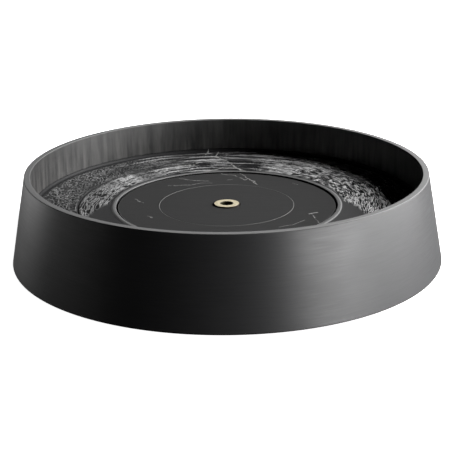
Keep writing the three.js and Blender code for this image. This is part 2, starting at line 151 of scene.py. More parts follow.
def linear(hex_colour):
    """A linear RGBA colour from an sRGB hex value such as "2b2b2c"."""
    channels = [int(hex_colour[i : i + 2], 16) / 255 for i in (0, 2, 4)]
    return (*[c / 12.92 if c <= 0.04045 else ((c + 0.055) / 1.055) ** 2.4 for c in channels], 1)


def add(tree, kind, inputs, **settings):
    """Adds a node and returns its outputs. An input is a value to set, or an output to link."""
    made = tree.nodes.new("ShaderNode" + kind)
    for name, value in settings.items():
        setattr(made, name, value)
    for socket, value in inputs.items():
        if isinstance(value, bpy.types.NodeSocket):
            tree.links.new(value, made.inputs[socket])
        else:
            made.inputs[socket].default_value = value
    return made.outputs


def new_material(finish):
    """A material whose surface shader takes the inputs that finish(tree) returns."""
    made = bpy.data.materials.new(finish.__name__)
    made.use_nodes = True
    tree = made.node_tree
    tree.nodes.clear()
    shader = add(tree, "BsdfPrincipled", finish(tree))
    add(tree, "OutputMaterial", {"Surface": shader["BSDF"]})
    return made


def grain(tree, size, detail=2.0, roughness=0.5):
    """Noise from about 0.3 to 0.7 whose grains measure size = (x, y, z)."""
    place = add(tree, "TexCoord", {})["Object"]
    scaled = add(tree, "Mapping", {"Vector": place, "Scale": [1 / s for s in size]})["Vector"]
    inputs = {"Vector": scaled, "Scale": 1.0, "Detail": detail, "Roughness": roughness}
    return add(tree, "TexNoise", inputs)["Fac"]


def radius_and_height(tree):
    """How far a point is from the axis, and its height."""
    place = add(tree, "TexCoord", {})["Object"]
    flat = add(tree, "VectorMath", {0: place, 1: (1, 1, 0)}, operation="MULTIPLY")["Vector"]
    radius = add(tree, "VectorMath", {0: flat}, operation="LENGTH")["Value"]
    return radius, add(tree, "SeparateXYZ", {"Vector": place})["Z"]


def ring_mask(tree, low_radius, high_radius, blur):
    """1 between two radii, falling to 0 over blur on each side."""
    radius, _ = radius_and_height(tree)
    middle = (low_radius + high_radius) / 2
    half = (high_radius - low_radius) / 2
    offset = add(tree, "Math", {0: radius, 1: middle}, operation="SUBTRACT")["Value"]
    away = add(tree, "Math", {0: offset}, operation="ABSOLUTE")["Value"]
    fade = {"Value": away, "From Min": half, "From Max": half + blur, "To Min": 1, "To Max": 0}
    return add(tree, "MapRange", fade)["Result"]


def scratch_mask(tree, scratches):
    """1 along thin scratches, each broken up where the tool skipped, and 0 elsewhere."""
    place = add(tree, "TexCoord", {})["Object"]
    wander = grain(tree, (6 * MM, 6 * MM, 6 * MM), detail=3.0)
    shift = {"Value": wander, "From Min": 0.3, "From Max": 0.7, "To Min": -SCRATCH_WANDER}
    shift["To Max"] = SCRATCH_WANDER
    shifted = add(tree, "MapRange", shift, clamp=False)["Result"]
    moved = add(tree, "VectorMath", {0: place, 1: shifted}, operation="ADD")["Vector"]
    flat = add(tree, "VectorMath", {0: moved, 1: (1, 1, 0)}, operation="MULTIPLY")["Vector"]
    mask = 0.0
    for points, width in scratches:
        for start, end in zip(points, points[1:]):
            line = np.subtract(end, start) * MM
            length = float(np.hypot(*line))
            along = (*(line / length), 0)
            from_start = (-start[0] * MM, -start[1] * MM, 0)
            reach = add(tree, "VectorMath", {0: flat, 1: from_start}, operation="ADD")["Vector"]
            travel = add(tree, "VectorMath", {0: reach, 1: along}, operation="DOT_PRODUCT")["Value"]
            limits = {"Value": travel, "Min": 0.0, "Max": length}
            nearest = add(tree, "Clamp", limits)["Result"]
            foot = add(tree, "VectorMath", {0: along, "Scale": nearest}, operation="SCALE")["Vector"]
            away = add(tree, "VectorMath", {0: reach, 1: foot}, operation="DISTANCE")["Value"]
            fade = {
                "Value": away,
                "From Min": SCRATCH_CORE * width * MM,
                "From Max": SCRATCH_HALO * width * MM,
                "To Min": 1.0,
                "To Max": 0.0,
            }
            mark = add(tree, "MapRange", fade)["Result"]
            mask = add(tree, "Math", {0: mark, 1: mask}, operation="MAXIMUM")["Value"]
    skips = grain(tree, (7 * MM, 7 * MM, 7 * MM), detail=2.0)
    share = {"Value": skips, "From Min": 0.32, "From Max": 0.44}
    kept = add(tree, "MapRange", share)["Result"]
    return add(tree, "Math", {0: mask, 1: kept}, operation="MULTIPLY")["Value"]


# --- Materials ------------------------------------------------------------------------------------
# Each function returns the inputs of its surface shader.


def turned_black_coating(tree):
    """Cast aluminium turned on a lathe and coated matt black. Faint tool marks run round it, the rim's
    top is paler from wear and a painted sheen, the inside of the wall and the foot of the skirt are
    painted darker as shade, and clay dust streaks the inside."""
    tool_marks = grain(tree, (28 * MM, 28 * MM, 1.3 * MM), detail=3.0, roughness=0.6)
    cloud = grain(tree, (60 * MM, 60 * MM, 25 * MM))
    streaks = grain(tree, (7 * MM, 7 * MM, 60 * MM), detail=4.0, roughness=0.6)
    radius, height = radius_and_height(tree)
    middle = RIM_RADIUS - WALL / 2
    inside = add(tree, "Math", {0: radius, 1: middle}, operation="LESS_THAN")["Value"]
    low_down = {"Value": height, "From Min": RIM_Z - 2 * MM, "From Max": FLOOR_Z, "To Min": 0.35}
    settled = add(tree, "MapRange", low_down)["Result"]
    run = {"Value": streaks, "From Min": 0.38, "From Max": 0.66}
    streaked = add(tree, "MapRange", run)["Result"]
    dust = add(tree, "Math", {0: streaked, 1: settled}, operation="MULTIPLY")["Value"]
    dust_inside = add(tree, "Math", {0: dust, 1: inside}, operation="MULTIPLY")["Value"]
    # Paler rim top: partly wear, partly a painted sheen where it catches the lamps.
    rim_wear_and_sheen_range = {"Value": height, "From Min": RIM_Z - 0.3 * MM, "From Max": RIM_Z - 0.05 * MM}
    rim_wear_and_sheen = add(tree, "MapRange", rim_wear_and_sheen_range)["Result"]
    mottle = add(tree, "Math", {0: tool_marks, 1: cloud}, operation="ADD")["Value"]
    mottle_share = {"Value": mottle, "From Min": 0.8, "From Max": 1.2}
    share = add(tree, "MapRange", mottle_share)["Result"]
    coat = {0: share, 6: linear("272728"), 7: linear("2e2e2f")}
    outside = add(tree, "Mix", coat, data_type="RGBA")[2]
    # Painted shade: the inside of the wall is coloured darker than the outside.
    inside_shade_mix = {0: inside, 6: outside, 7: linear("181818")}
    coated = add(tree, "Mix", inside_shade_mix, data_type="RGBA")[2]
    dusted = {0: dust_inside, 6: coated, 7: linear("444342")}
    dusty = add(tree, "Mix", dusted, data_type="RGBA")[2]
    # The rim's top gets its paler colour here: wear with a painted sheen.
    wear_and_highlight = {0: rim_wear_and_sheen, 6: dusty, 7: linear("6c6c6c")}
    wear_and_highlight_colour = add(tree, "Mix", wear_and_highlight, data_type="RGBA")[2]
    # Painted shade: the lowest millimetre of the skirt is coloured near black.
    skirt_foot_shade_range = {"Value": height, "From Min": SKIRT_Z + 1.4 * MM, "From Max": SKIRT_Z + 0.9 * MM}
    painted_shade = add(tree, "MapRange", skirt_foot_shade_range)["Result"]
    skirt_foot_shade_mix = {0: painted_shade, 6: wear_and_highlight_colour, 7: linear("070707")}
    colour = add(tree, "Mix", skirt_foot_shade_mix, data_type="RGBA")[2]
    gloss = {"Value": mottle, "From Min": 0.8, "From Max": 1.2, "To Min": 0.46, "To Max": 0.4}
    smoothness = add(tree, "MapRange", gloss)["Result"]
    edge_range = {"Value": height, "From Min": RIM_Z - 1.2 * MM, "From Max": RIM_Z - 0.6 * MM}
    edge_range.update({"To Min": 0.0, "To Max": 0.2})
    edge = add(tree, "MapRange", edge_range)["Result"]
    marks = {"Height": tool_marks, "Distance": 0.04 * MM, "Strength": 1.0}
    return {
        "Base Color": colour,
        "Roughness": add(tree, "Math", {0: smoothness, 1: edge}, operation="ADD")["Value"],
        "Normal": add(tree, "Bump", marks)["Normal"],
    }


def cast_basin_coating(tree):
    """The basin floor as cast and coated black, with little gloss. Its high points are pale, partly
    from rubbing and partly as painted glints, most of all on the lit right, and its lip has a painted
    highlight over some rubbing. Its hollows keep the black coat, the gap round the head and the
    groove are painted black as shade, and trimming tools have scratched it."""
    pits = grain(tree, (1.6 * MM, 1.6 * MM, 1.6 * MM), detail=3.0)
    cloud = grain(tree, (30 * MM, 30 * MM, 30 * MM), detail=3.0)
    # Painted highlight on the lip, over some rubbing.
    lip_wear_and_highlight = ring_mask(tree, WELL_RADIUS, LIP_RADIUS - 1.8 * MM, MM)
    radius, height = radius_and_height(tree)
    high_range = {"Value": height, "From Min": FLOOR_Z - 0.05 * MM, "From Max": FLOOR_Z + 0.5 * MM}
    raised = add(tree, "MapRange", high_range)["Result"]
    cove_start = BASIN_RADIUS - COVE_RADIUS
    on_floor = add(tree, "Math", {0: radius, 1: cove_start}, operation="LESS_THAN")["Value"]
    high = add(tree, "Math", {0: raised, 1: on_floor}, operation="MULTIPLY")["Value"]
    place = add(tree, "TexCoord", {})["Object"]
    across = add(tree, "SeparateXYZ", {"Vector": place})["X"]
    # Painted glints: crests are coloured pale, partly as rubbing, and more on the lit right.
    basin_lit_side_range = {"Value": across, "From Min": -110 * MM, "From Max": 90 * MM, "To Min": 0.5}
    basin_lit_side = add(tree, "MapRange", basin_lit_side_range)["Result"]
    crest_wear_and_glint = add(tree, "Math", {0: high, 1: basin_lit_side}, operation="MULTIPLY")["Value"]
    # Painted shade: the bottom of the groove and the gap round the head are coloured near black.
    groove = ring_mask(tree, GROOVE_RADIUS, GROOVE_RADIUS, GROOVE_HALF_WIDTH)
    below = add(tree, "Math", {0: height, 1: FLOOR_Z - 0.25 * MM}, operation="LESS_THAN")["Value"]
    in_groove = add(tree, "Math", {0: groove, 1: below}, operation="MULTIPLY")["Value"]
    scratches = scratch_mask(tree, BASIN_SCRATCHES)
    in_gap = add(tree, "Math", {0: radius, 1: WELL_RADIUS + 0.2 * MM}, operation="LESS_THAN")["Value"]
    gap_and_groove_shade = add(tree, "Math", {0: in_gap, 1: in_groove}, operation="MAXIMUM")["Value"]
    hollows = {0: cloud, 6: linear("0e0e0f"), 7: linear("222223")}
    hollow_colour = add(tree, "Mix", hollows, data_type="RGBA")[2]
    # Painted glints on the crests, over some rubbing.
    crest_glint_mix = {0: crest_wear_and_glint, 6: hollow_colour, 7: linear("b2b2b2")}
    crest_glint_colour = add(tree, "Mix", crest_glint_mix, data_type="RGBA")[2]
    # Painted highlight on the lip.
    lip_highlight_mix = {0: lip_wear_and_highlight, 6: crest_glint_colour, 7: linear("686868")}
    wear_and_highlight = add(tree, "Mix", lip_highlight_mix, data_type="RGBA")[2]
    # Painted shade in the gap and the groove.
    gap_and_groove_shade_mix = {0: gap_and_groove_shade, 6: wear_and_highlight, 7: linear("080808")}
    gap_and_groove_shaded = add(tree, "Mix", gap_and_groove_shade_mix, data_type="RGBA")[2]
    scratched = {0: scratches, 6: gap_and_groove_shaded, 7: linear("8a8a88")}
    gloss = {"Value": high, "To Min": 0.6, "To Max": 0.38}
    pitting = {"Height": pits, "Distance": 0.1 * MM, "Strength": 1.0}
    pitted = add(tree, "Bump", pitting)["Normal"]
    cuts = {"Height": scratches, "Distance": 0.25 * MM, "Strength": 1.0, "Normal": pitted}
    return {
        "Base Color": add(tree, "Mix", scratched, data_type="RGBA")[2],
        "Specular IOR Level": 0.15,
        "Roughness": add(tree, "MapRange", gloss)["Result"],
        "Normal": add(tree, "Bump", cuts, invert=True)["Normal"],
    }


def matt_head_coating(tree):
    """Turned aluminium coated matt charcoal: flat, even and almost without gloss. It is pale in the
    centring groove, where the coating has worn, and a painted highlight runs along one side of its
    edge. Painted shade darkens it round the bush, and it has a few scratches."""
    wear = grain(tree, (30 * MM, 4 * MM, 30 * MM), detail=4.0, roughness=0.6)
    sanding = grain(tree, (0.8 * MM, 0.8 * MM, 0.8 * MM))
    scratches = scratch_mask(tree, HEAD_SCRATCHES)
    groove = ring_mask(tree, CENTRING_RADIUS, CENTRING_RADIUS, CENTRING_HALF_WIDTH)
    edge = ring_mask(tree, HEAD_RADIUS - 0.4 * MM, HEAD_RADIUS, 0.4 * MM)
    place = add(tree, "TexCoord", {})["Object"]
    across = add(tree, "SeparateXYZ", {"Vector": place})["X"]
    # Painted highlight: a pale line along the head's edge, on the left side only.
    head_lit_side_range = {"Value": across, "From Min": 60 * MM, "From Max": -20 * MM}
    head_lit_side = add(tree, "MapRange", head_lit_side_range)["Result"]
    edge_highlight = add(tree, "Math", {0: edge, 1: head_lit_side}, operation="MULTIPLY")["Value"]
    groove_wear_and_edge_highlight = add(tree, "Math", {0: groove, 1: edge_highlight}, operation="MAXIMUM")["Value"]
    wear_and_edge_highlight = add(tree, "Math", {0: groove_wear_and_edge_highlight, 1: scratches}, operation="MAXIMUM")["Value"]
    coat = {0: wear, 6: linear("323232"), 7: linear("383838")}
    coated = add(tree, "Mix", coat, data_type="RGBA")[2]
    # Painted shade: a near-black ring round the bush, where it sits in its counterbore.
    bush_shade_ring = ring_mask(tree, BUSH_FLANGE_RADIUS, BUSH_FLANGE_RADIUS + 0.7 * MM, 0.5 * MM)
    bush_shade_mix = {0: bush_shade_ring, 6: coated, 7: linear("0b0a08")}
    painted_shade = add(tree, "Mix", bush_shade_mix, data_type="RGBA")[2]
    wear_and_highlight = {0: wear_and_edge_highlight, 6: painted_shade, 7: linear("868685")}
    gloss = {"Value": wear, "From Min": 0.3, "From Max": 0.7, "To Min": 0.56, "To Max": 0.62}
    texture = {"Height": sanding, "Distance": 0.02 * MM, "Strength": 1.0}
    return {
        "Base Color": add(tree, "Mix", wear_and_highlight, data_type="RGBA")[2],
        "Specular IOR Level": 0.08,
        "Roughness": add(tree, "MapRange", gloss)["Result"],
        "Normal": add(tree, "Bump", texture)["Normal"],
    }


def metal(tree, colour, dark_colour, roughness, mark_size, mark_depth):
    """Bare metal with marks of a given size, which darken and roughen it a little."""
    marks = grain(tree, mark_size, detail=3.0)
    shade = {0: marks, 6: linear(dark_colour), 7: linear(colour)}
    gloss = {"Value": marks, "To Min": roughness * 1.3, "To Max": roughness * 0.7}
    relief = {"Height": marks, "Distance": mark_depth, "Strength": 1.0}
    return {
        "Base Color": add(tree, "Mix", shade, data_type="RGBA")[2],
        "Metallic": 1.0,
        "Roughness": add(tree, "MapRange", gloss)["Result"],
        "Normal": add(tree, "Bump", relief)["Normal"],
    }


def turned_brass(tree):
    """Pale bearing brass, faced on a lathe and tarnished to a satin that no longer mirrors. The bore is
    coloured dark, and the edge of the flange is near black: tarnish with painted shade at the joint."""
    marks = grain(tree, (3 * MM, 3 * MM, 0.4 * MM), detail=3.0)
    radius, _ = radius_and_height(tree)
    # The bore is coloured dark olive.
    bore_edge = {
        "Value": radius,
        "From Min": BUSH_BORE_RADIUS + 0.2 * MM,
        "From Max": BUSH_BORE_RADIUS + 0.7 * MM,
    }
    off_bore = add(tree, "MapRange", bore_edge)["Result"]
    face = {0: marks, 6: linear("c4b898"), 7: linear("ece2c8")}
    faced = add(tree, "Mix", face, data_type="RGBA")[2]
    dark_bore_mix = {0: off_bore, 6: linear("2c2814"), 7: faced}
    with_dark_bore = add(tree, "Mix", dark_bore_mix, data_type="RGBA")[2]
    # The flange edge is near black: tarnish with painted shade at its joint with the head.
    flange_edge = {
        "Value": radius,
        "From Min": BUSH_FLANGE_RADIUS - 0.8 * MM,
        "From Max": BUSH_FLANGE_RADIUS - 0.5 * MM,
    }
    flange_edge_tarnish_and_shade = add(tree, "MapRange", flange_edge)["Result"]
    flange_edge_shade_mix = {0: flange_edge_tarnish_and_shade, 6: with_dark_bore, 7: linear("241a0e")}
    relief = {"Height": marks, "Distance": 0.01 * MM, "Strength": 1.0}
    return {
        "Base Color": add(tree, "Mix", flange_edge_shade_mix, data_type="RGBA")[2],
        "Metallic": 0.35,
        "Roughness": 0.5,
        "Normal": add(tree, "Bump", relief)["Normal"],
    }


def stamped_cage_brass(tree):
    """Yellow brass strip, stamped: duller than turned brass."""
    return metal(tree, "b59a5c", "8f7843", 0.42, (2 * MM, 2 * MM, 2 * MM), 0.01 * MM)


def ground_bearing_steel(tree):
    """Hardened steel, ground and polished, with an oily film."""
    return metal(tree, "c4c6c8", "a9abad", 0.18, (4 * MM, 4 * MM, 0.3 * MM), 0.005 * MM)


def zinc_plated_steel(tree):
    """Bright zinc plate: bluish and slightly cloudy."""
    return metal(tree, "b9bec2", "969b9f", 0.34, (5 * MM, 5 * MM, 5 * MM), 0.02 * MM)


def turned_cast_iron(tree):
    """Grey iron turned all over and oiled: dark, with open grain."""
    return metal(tree, "6a6b6c", "3c3d3e", 0.45, (1.2 * MM, 1.2 * MM, 0.5 * MM), 0.05 * MM)


def powder_coated_sheet(tree):
    """Pressed steel sheet, powder coated black: a fine, even orange peel."""
    peel = grain(tree, (1.4 * MM, 1.4 * MM, 1.4 * MM), detail=1.0)
    shade = {0: peel, 6: linear("1c1c1d"), 7: linear("292929")}
    relief = {"Height": peel, "Distance": 0.05 * MM, "Strength": 1.0}
    return {
        "Base Color": add(tree, "Mix", shade, data_type="RGBA")[2],
        "Roughness": 0.5,
        "Normal": add(tree, "Bump", relief)["Normal"],
    }


def moulded_rubber(tree):
    """Black rubber from a mould: matt, with a faint bloom."""
    bloom = grain(tree, (3 * MM, 3 * MM, 3 * MM), detail=4.0)
    shade = {0: bloom, 6: linear("121212"), 7: linear("2a2a29")}
    gloss = {"Value": bloom, "To Min": 0.65, "To Max": 0.9}
    relief = {"Height": bloom, "Distance": 0.03 * MM, "Strength": 1.0}
    return {
        "Base Color": add(tree, "Mix", shade, data_type="RGBA")[2],
        "Roughness": add(tree, "MapRange", gloss)["Result"],
        "Normal": add(tree, "Bump", relief)["Normal"],
    }


def pressed_felt(tree):
    """Grey wool felt, pressed: no gloss, with a tangle of short hairs."""
    hairs = grain(tree, (0.5 * MM, 0.5 * MM, 0.5 * MM), detail=5.0, roughness=0.7)
    shade = {0: hairs, 6: linear("3a3733"), 7: linear("7d7972")}
    relief = {"Height": hairs, "Distance": 0.2 * MM, "Strength": 1.0}
    return {
        "Base Color": add(tree, "Mix", shade, data_type="RGBA")[2],
        "Roughness": 0.95,
        "Sheen Weight": 0.3,
        "Normal": add(tree, "Bump", relief)["Normal"],
    }


# --- Making meshes --------------------------------------------------------------------------------

SHARP_ANGLE = math.radians(50)


def rounded(corners, steps=4):
    """An outline from (radius, z, fillet) corners: each corner with a fillet becomes an arc."""
    outline = []
    count = len(corners)
    for i, (radius, z, fillet) in enumerate(corners):
        here = np.array((radius, z))
        if not fillet:
            outline.append(tuple(here))
            continue
        before = np.array(corners[i - 1][:2]) - here
        after = np.array(corners[(i + 1) % count][:2]) - here
        before /= np.linalg.norm(before)
        after /= np.linalg.norm(after)
        half_angle = math.acos(max(-1.0, min(1.0, float(before @ after)))) / 2
        reach = fillet / math.tan(half_angle)
        middle = before + after
        centre = here + middle / np.linalg.norm(middle) * fillet / math.sin(half_angle)
        start = here + before * reach - centre
        end = here + after * reach - centre
        start_angle = math.atan2(start[1], start[0])
        turn = (math.atan2(end[1], end[0]) - start_angle + math.pi) % (2 * math.pi) - math.pi
        for k in range(steps + 1):
            angle = start_angle + turn * k / steps
            outline.append((centre[0] + fillet * math.cos(angle), centre[1] + fillet * math.sin(angle)))
    return outline


def filled(outline, spacing, low_radius, high_radius):
    """The outline with points added about every spacing, between two radii."""
    dense = []
    for i, (radius, z) in enumerate(outline):
        next_radius, next_z = outline[(i + 1) % len(outline)]
        dense.append((radius, z))
        inside = all(low_radius <= r <= high_radius for r in (radius, next_radius))
        count = int(round(math.hypot(next_radius - radius, next_z - z) / spacing))
        if inside and z > FLOOR_Z - 2 * GROOVE_DEPTH:
            for k in range(1, count):
                share = k / count
                dense.append((radius + (next_radius - radius) * share, z + (next_z - z) * share))
    return dense


def turned(name, outline, facets, relief=None, centre=(0, 0)):
    """A closed ring turned from an outline that runs anticlockwise. relief(radius, angle, z) gives
    how far each point is raised."""
    points = np.array(outline)
    angles = np.arange(facets) * 2 * math.pi / facets
    radius = np.repeat(points[:, 0][:, None], facets, axis=1)
    z = np.repeat(points[:, 1][:, None], facets, axis=1)
    angle = np.repeat(angles[None, :], len(points), axis=0)
    if relief is not None:
        z = z + relief(radius, angle, z)
    x = centre[0] + radius * np.cos(angle)
    y = centre[1] + radius * np.sin(angle)
    vertices = np.stack((x, y, z), axis=-1).reshape(-1, 3)
    row, column = (grid.ravel() for grid in np.indices((len(points), facets)))
    next_row = (row + 1) % len(points)
    next_column = (column + 1) % facets
    faces = np.stack(
        (
            row * facets + column,
            row * facets + next_column,
            next_row * facets + next_column,
            next_row * facets + column,
        ),
        axis=-1,
    )
    mesh = bpy.data.meshes.new(name)
    mesh.from_pydata(vertices.tolist(), [], faces.tolist())
    mesh.update()
    mesh.polygons.foreach_set("use_smooth", [True] * len(mesh.polygons))
    mesh.set_sharp_from_angle(angle=SHARP_ANGLE)
    made = bpy.data.objects.new(name, mesh)
    bpy.context.scene.collection.objects.link(made)
    # Wide faces keep their own normals, so the fillets beside them stay crisp.
    made.modifiers.new("weighted_normals", "WEIGHTED_NORMAL").keep_sharp = True
    return made


def finish_piece(piece, body, material, slot, *nodes):
    """Gives a piece its material and its body, and hides the CAD nodes it stands for. The slot is not
    used.
    """
    piece.data.materials.append(material)
    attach(piece, body)
    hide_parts(*nodes)


# --- Relief of the cast basin floor ---------------------------------------------------------------

# Spacing of the marks in mm, and how many of them go round the floor.
RIPPLE_SPACING = 2.2
RIPPLES_ROUND = 64
PEBBLE_SPACING = 3.2
STROKE_SPACING = 4.0
STROKES_ROUND = 20
WARP_SPACING = 8
PATCH_SPACING = 38
CREST_REACH = 0.36  # how far from zero the noise may be and still lie on a crest
BACK_SPREAD = 0.62  # radians, for the long strokes at the back
FRONT_SPREAD = 0.8
SMOOTH_BAND = 22  # mm, the widest part of the smooth band beside the lip


def lattice_noise(u, v, seed, cells_round=10**6):
    """Smooth noise from -1 to 1 over a lattice of unit cells, with a slope fixed at each point.
    It repeats every cells_round along v, so that a pattern can close round a ring."""
    whole_u, whole_v = np.floor(u), np.floor(v)
    part_u, part_v = u - whole_u, v - whole_v
    ease_u = part_u**3 * (part_u * (part_u * 6 - 15) + 10)
    ease_v = part_v**3 * (part_v * (part_v * 6 - 15) + 10)

    def corner(step_u, step_v):
        cell_v = (whole_v + step_v) % cells_round
        mixed = np.sin((whole_u + step_u) * 127.1 + cell_v * 311.7 + seed * 74.7) * 43758.5
        direction = 2 * math.pi * (mixed - np.floor(mixed))
        return np.cos(direction) * (part_u - step_u) + np.sin(direction) * (part_v - step_v)

    near = corner(0, 0) * (1 - ease_u) + corner(1, 0) * ease_u
    far = corner(0, 1) * (1 - ease_u) + corner(1, 1) * ease_u
    return 1.4 * (near * (1 - ease_v) + far * ease_v)


def ridges(noise):
    """Sharp crests of height 1 where the noise crosses zero, with wide hollows between them."""
    return 1 - np.minimum(np.abs(noise) / CREST_REACH, 1)


def basin_relief(radius, angle, z):
    """The rough casting between the lip and the wall: ripples round the lip at the sides, pebbles
    beyond the groove on the left, and long strokes at the back and front. A smooth band beside the
    lip is widest at the front."""
    across = radius / MM
    x = across * np.cos(angle)
    y = across * np.sin(angle)
    turn = angle / (2 * math.pi)
    warp = lattice_noise(x / WARP_SPACING, y / WARP_SPACING, 3)
    ripple_across = (across + 0.8 * warp) / RIPPLE_SPACING
    ripple_round = turn * RIPPLES_ROUND + 0.3 * warp
    ripple = ridges(lattice_noise(ripple_across, ripple_round, 1, RIPPLES_ROUND))
    pebble_x = (x + 1.5 * warp) / PEBBLE_SPACING
    pebble_y = (y - 1.5 * warp) / PEBBLE_SPACING
    pebble = ridges(lattice_noise(pebble_x, pebble_y, 2))
    stroke_across = (across + 1.2 * warp) / STROKE_SPACING
    stroke = lattice_noise(stroke_across, turn * STROKES_ROUND, 5, STROKES_ROUND)
    back = np.exp(-(((angle - math.pi / 2) / BACK_SPREAD) ** 2))
    front = np.exp(-(((angle - 1.5 * math.pi) / FRONT_SPREAD) ** 2))
    strokes = np.clip(back + front, 0, 1)
    left = np.clip(-2 * np.cos(angle), 0, 1)
    outside = np.clip((radius - GROOVE_RADIUS) / (4 * MM), 0, 1) * left
    side = 1.3 * ripple * (1 - outside) + 0.9 * pebble * (0.15 + 0.85 * outside)
    long_marks = 1.1 * stroke + 0.3 * ripple + 0.15 * pebble
    height = (1 - 0.25 * left) * side * (1 - strokes) + long_marks * strokes
    patch = np.clip(0.9 + 0.8 * lattice_noise(x / PATCH_SPACING, y / PATCH_SPACING, 7), 0.25, 1.1)
    smooth_width = 1 + SMOOTH_BAND * np.clip(0.12 - 3.2 * np.sin(angle), 0, 1)
    past_smooth = across - LIP_RADIUS / MM - smooth_width
    rough_start = np.clip(past_smooth / (3 + 0.4 * smooth_width), 0, 1)
    rough_end = np.clip(((BASIN_RADIUS - COVE_RADIUS) / MM - across) / 3, 0, 1)
    on_top = z > FLOOR_Z - 1.5 * GROOVE_DEPTH
    # Slip has filled the groove except on the left, where it is open between smooth edges.
    from_groove = np.abs(radius - GROOVE_RADIUS)
    filled_share = np.clip(1.2 + 2 * np.cos(angle), 0, 1)
    beside = np.clip(1.6 - from_groove / (1.5 * MM), 0, 1) * (1 - filled_share)
    rough = on_top * rough_start * rough_end * (1 - beside) * patch * (height - 0.2) * MM
    in_groove = from_groove < GROOVE_HALF_WIDTH + 0.2 * MM
    return rough + on_top * in_groove * filled_share * (FLOOR_Z - z)


# --- Pieces ---------------------------------------------------------------------------------------

ROUND_FACETS = 256
BASIN_FACETS = 1440
BASIN_POINT_SPACING = 0.5 * MM
SMALL_FACETS = 96

coating = new_material(turned_black_coating)
basin_coating = new_material(cast_basin_coating)
head_coating = new_material(matt_head_coating)
brass = new_material(turned_brass)
rubber = new_material(moulded_rubber)


def pan_wall():
    corners = [
        (outer_wall_at(SKIRT_Z), SKIRT_Z, 0.6 * MM),
        (RIM_RADIUS, RIM_Z, 0.7 * MM),
        (BASIN_RADIUS, RIM_Z, 0.5 * MM),
        (BASIN_RADIUS, SHOULDER_Z, 0.3 * MM),
        (inner_wall_at(SHOULDER_Z), SHOULDER_Z, 0),
        (inner_wall_at(LEDGE_HIGH_Z), LEDGE_HIGH_Z, 0),
        (LEDGE_RADIUS, LEDGE_HIGH_Z, 0),
        (LEDGE_RADIUS, LEDGE_LOW_Z, 0),
        (inner_wall_at(LEDGE_LOW_Z), LEDGE_LOW_Z, 0),
        (inner_wall_at(SKIRT_Z), SKIRT_Z, 0.6 * MM),
    ]
    piece = turned("tapered_wall", rounded(corners), ROUND_FACETS)
    finish_piece(piece, "casing", coating, "coated_casting", "pan_wall")


def lip_outline(steps=14):
    """The bead that stands round the well: a gentle slope outside and a rounded edge inside."""
    crest = 0.5
    inner_drop = 1.2 * LIP_HEIGHT
    outline = []
    for k in range(1, steps + 1):
        share = k / steps
        if share < crest:
            z = FLOOR_Z + LIP_HEIGHT * (1 - math.cos(math.pi * share / crest)) / 2
        else:
            past_crest = (share - crest) / (1 - crest)
            z = FLOOR_Z + LIP_HEIGHT - inner_drop * (1 - (1 - past_crest**4) ** 0.25)
        outline.append((LIP_RADIUS - share * LIP_WIDTH, z))
    return outline


def basin_floor():
    under_z = FLOOR_Z - FLOOR_THICKNESS
    under_corners = [
        (WELL_RADIUS, FLANGE_Z, 0),
        (FLANGE_RADIUS, FLANGE_Z, 0),
        (FLANGE_RADIUS, under_z, 0),
        (inner_wall_at(under_z) - GAP, under_z, 0),
        (inner_wall_at(FLOOR_EDGE_Z) - GAP, FLOOR_EDGE_Z, 0),
        (BASIN_RADIUS, FLOOR_EDGE_Z, 0.2 * MM),
        (BASIN_RADIUS, FLOOR_Z, 0.9 * COVE_RADIUS),
        (GROOVE_RADIUS + GROOVE_HALF_WIDTH, FLOOR_Z, 0.2 * MM),
        (GROOVE_RADIUS, FLOOR_Z - GROOVE_DEPTH, 0.2 * MM),
        (GROOVE_RADIUS - GROOVE_HALF_WIDTH, FLOOR_Z, 0.2 * MM),
        (LIP_RADIUS, FLOOR_Z, 0),
    ]
    outline = rounded(under_corners, 3) + lip_outline()
    dense = filled(outline, BASIN_POINT_SPACING, LIP_RADIUS, BASIN_RADIUS)
    piece = turned("basin_floor_casting", dense, BASIN_FACETS, basin_relief)
    finish_piece(piece, "casing", basin_coating, "coated_casting", "basin_floor")


def wheel_head():
    counterbore = BUSH_FLANGE_RADIUS + 0.5 * MM
    counterbore_z = BUSH_TOP_Z - BUSH_FLANGE_HEIGHT - GAP
    corners = [
        (BUSH_BARREL_RADIUS + GAP, HEAD_UNDER_Z, 0),
        (HEAD_RADIUS, HEAD_UNDER_Z, 0.5 * MM),
        (HEAD_RADIUS, HEAD_Z, 0.7 * MM),
        (CENTRING_RADIUS + CENTRING_HALF_WIDTH, HEAD_Z, 0.1 * MM),
        (CENTRING_RADIUS, HEAD_Z - COATED_GROOVE_SHARE * CENTRING_DEPTH, 0.1 * MM),
        (CENTRING_RADIUS - CENTRING_HALF_WIDTH, HEAD_Z, 0.1 * MM),
        (counterbore, HEAD_Z, 0.2 * MM),
        (counterbore, counterbore_z, 0),
        (BUSH_BARREL_RADIUS + GAP, counterbore_z, 0),
    ]
    piece = turned("wheel_head_disc", rounded(corners), ROUND_FACETS)
    finish_piece(piece, "rotor", head_coating, "head_coating", "wheel_head")


def centre_bush():
    flange_under_z = BUSH_TOP_Z - BUSH_FLANGE_HEIGHT
    corners = [
        (BUSH_BORE_RADIUS, bush_low.z, 0.3 * MM),
        (BUSH_BARREL_RADIUS, bush_low.z, 0.3 * MM),
        (BUSH_BARREL_RADIUS, flange_under_z, 0),
        (BUSH_FLANGE_RADIUS, flange_under_z, 0.2 * MM),
        (BUSH_FLANGE_RADIUS, BUSH_TOP_Z, 0.4 * MM),
        (BUSH_BORE_RADIUS, BUSH_TOP_Z, 0.4 * MM),
    ]
    piece = turned("flanged_bush", rounded(corners), SMALL_FACETS)
    finish_piece(piece, "rotor", brass, "bush_brass", "centre_bush")


